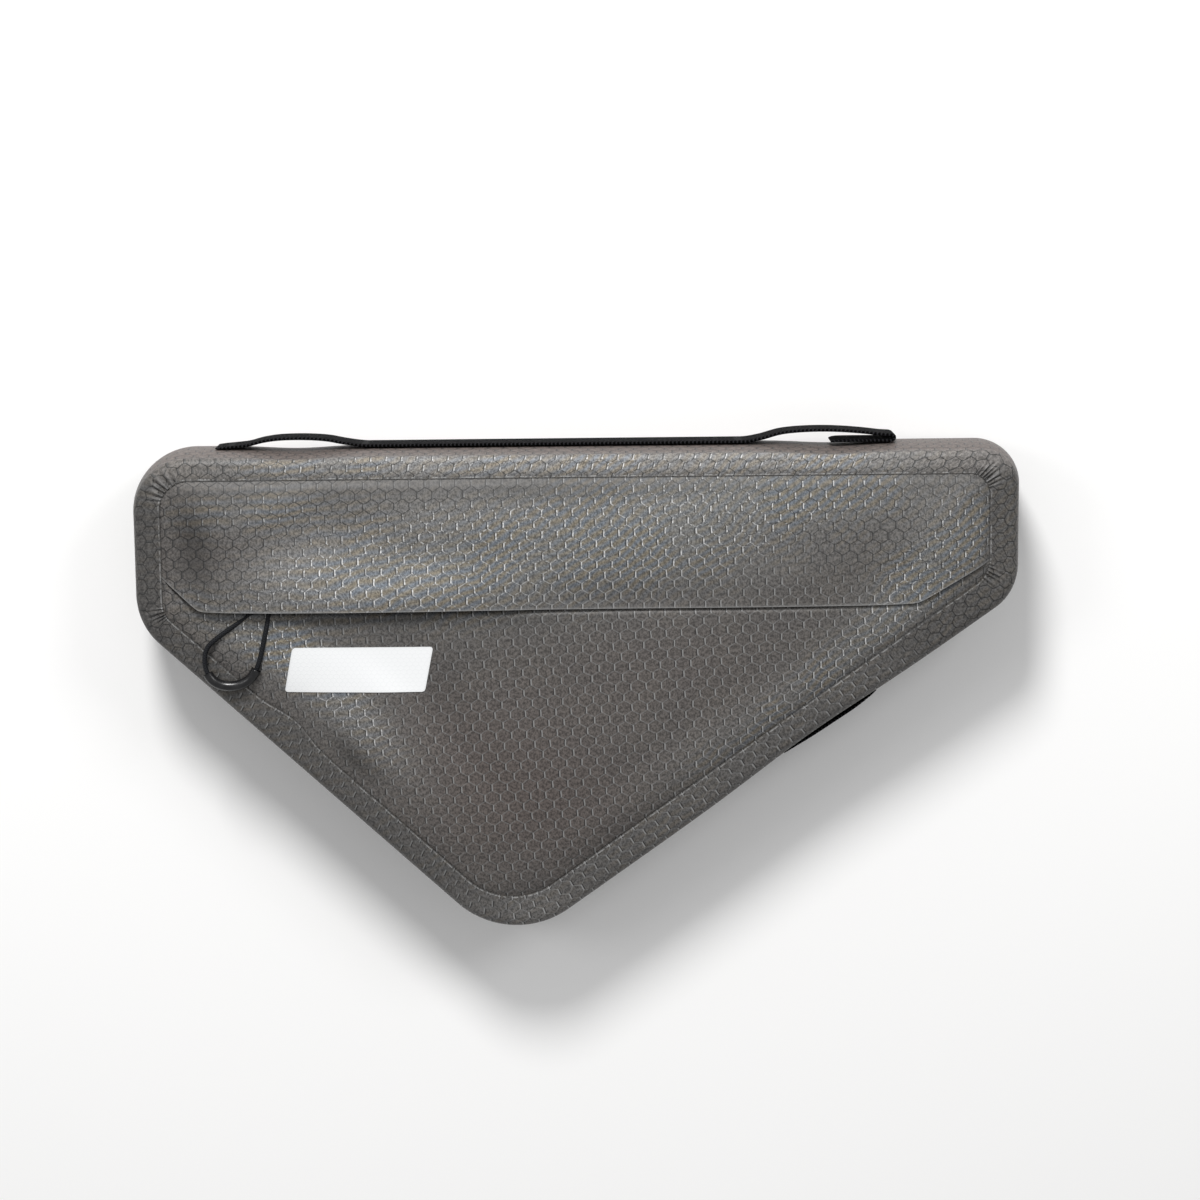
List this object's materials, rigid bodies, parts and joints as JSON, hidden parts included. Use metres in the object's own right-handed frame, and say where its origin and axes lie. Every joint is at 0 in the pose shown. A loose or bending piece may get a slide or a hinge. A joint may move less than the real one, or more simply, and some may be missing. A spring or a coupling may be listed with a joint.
{
  "type": "bicycle frame bag",
  "caption": "Zipped triangular bag of coated cloth that straps inside a bicycle frame, with webbing loops on its long edge and a cord zip pull.",
  "frame": {"origin": "under the middle of the bag's bounding box, on the plane that the back panel lies on", "axes": "+X along the webbed top edge towards the bag's right end, +Y from the tip towards the webbed top edge, +Z out of the front panel"},
  "size_m": [0.441, 0.2507, 0.0674],
  "materials": {
    "coated_cloth": "coated woven cloth with a honeycomb ripstop grid, satin sheen",
    "webbing": "matte woven webbing",
    "zip_black": "matte",
    "cord_black": "matte braided cord",
    "sleeve_rubber": "glossy soft tube",
    "patch_white": "satin film"
  },
  "bodies": {
    "root": {"gusset_band": "coated_cloth", "front_panel": "coated_cloth", "rain_flap": "coated_cloth", "back_panel": "coated_cloth", "zip_tape": "zip_black", "zip_slider": "zip_black", "zip_pull_cord": "cord_black", "zip_pull_sleeve": "sleeve_rubber", "top_webbing": "webbing", "top_webbing_left_loop": "webbing", "top_webbing_right_loop": "webbing", "lower_strap": "webbing", "reflective_patch": "patch_white"}
  },
  "joints": []
}
